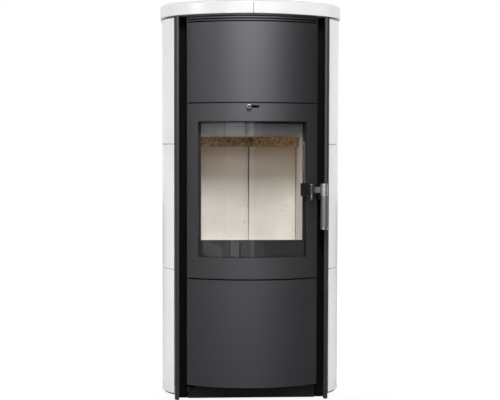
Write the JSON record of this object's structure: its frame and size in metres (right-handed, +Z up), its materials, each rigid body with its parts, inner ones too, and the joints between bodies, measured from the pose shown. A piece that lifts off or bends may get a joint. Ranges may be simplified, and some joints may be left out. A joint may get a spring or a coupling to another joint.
{
  "type": "tiled stove",
  "caption": "Free-standing tiled stove with a curved steel front, glazed side tiles and ceramic top, a glazed fire door with turning handle, an air slider and a lower storage door.",
  "frame": {"origin": "on the floor, under the middle of the bounding box", "axes": "+Z up, -Y towards the doors, +X to the right as one faces the stove"},
  "size_m": [0.55, 0.44, 1.19],
  "materials": {
    "glazed_tile": "satin white glaze",
    "front_paint": "fine dark grey heat-proof paint",
    "black_paint": "matte black heat-proof paint",
    "body_steel": "dark heat-proof paint",
    "bare_steel": "sheet steel, rolled",
    "zinc_steel": "zinc plated",
    "chamotte": "pressed chamotte, sandy",
    "vermiculite": "pressed vermiculite board",
    "iron": "raw casting",
    "pane": "clear ceramic glass",
    "rope": "woven glass-fibre rope",
    "pad_rubber": "heat-proof silicone pad",
    "bright_metal": "polished",
    "satin_metal": "satin"
  },
  "bodies": {
    "stove": {"air_box": "body_steel", "air_inlet_spigot": "bare_steel", "air_wash_deflector": "bare_steel", "ash_pan": "bare_steel", "back_bricks": "chamotte", "baffle_boards": "vermiculite", "base_plate": "body_steel", "body_screws": "zinc_steel", "casing_side_left": "body_steel", "casing_side_right": "body_steel", "convection_louvre": "front_paint", "feet_locknuts": "zinc_steel", "firebox_shelf": "body_steel", "firebox_shell": "body_steel", "floor_bricks": "chamotte", "flue_collar": "bare_steel", "front_frame": "black_paint", "grate": "iron", "hinge_brackets": "black_paint", "hinge_pins": "zinc_steel", "latch_catch": "black_paint", "levelling_feet": "zinc_steel", "magnet_catch": "bare_steel", "plinth_front": "black_paint", "post_left": "black_paint", "post_right": "black_paint", "rear_heat_shield": "bare_steel", "rear_panel": "body_steel", "side_bricks": "chamotte", "tile_carriers": "body_steel", "tile_left_bottom": "glazed_tile", "tile_left_middle": "glazed_tile", "tile_left_top": "glazed_tile", "tile_right_bottom": "glazed_tile", "tile_right_middle": "glazed_tile", "tile_right_top": "glazed_tile", "top_frame": "body_steel", "top_pads": "pad_rubber", "top_plate_left": "glazed_tile", "top_plate_right": "glazed_tile", "upper_panel": "front_paint"},
    "fire_door": {"door_panel": "front_paint", "door_frame": "black_paint", "door_gasket": "rope", "glass_pane": "pane", "glass_gasket": "rope", "glass_clips": "bare_steel", "glass_clip_screws": "zinc_steel", "slider_guide": "black_paint", "handle_bracket": "black_paint", "handle_pin": "zinc_steel"},
    "handle": {"handle_lever": "black_paint", "handle_shaft": "bright_metal", "handle_clamp": "bright_metal", "handle_grip": "satin_metal", "grip_cap": "bright_metal"},
    "air_slider": {"air_slider": "bare_steel", "slider_knob": "bright_metal"},
    "lower_door": {"lower_door_panel": "front_paint", "lower_door_frame": "black_paint"}
  },
  "joints": [
    {"name": "fire_door_swing", "type": "hinge", "parent": "stove", "child": "fire_door", "pos_m": [-0.182, -0.14194, 0.6315], "axis": [0, 0, -1], "range_deg": [0, 105]},
    {"name": "handle_turn", "type": "hinge", "parent": "fire_door", "child": "handle", "pos_m": [0.1745, -0.17693, 0.6353], "axis": [0, 0, -1], "range_deg": [0, 35]},
    {"name": "air_slider_slide", "type": "slide", "parent": "fire_door", "child": "air_slider", "axis": [1, 0, 0], "range_m": [0, 0.026]},
    {"name": "lower_door_swing", "type": "hinge", "parent": "stove", "child": "lower_door", "pos_m": [-0.182, -0.14194, 0.21], "axis": [0, 0, -1], "range_deg": [0, 105]}
  ]
}
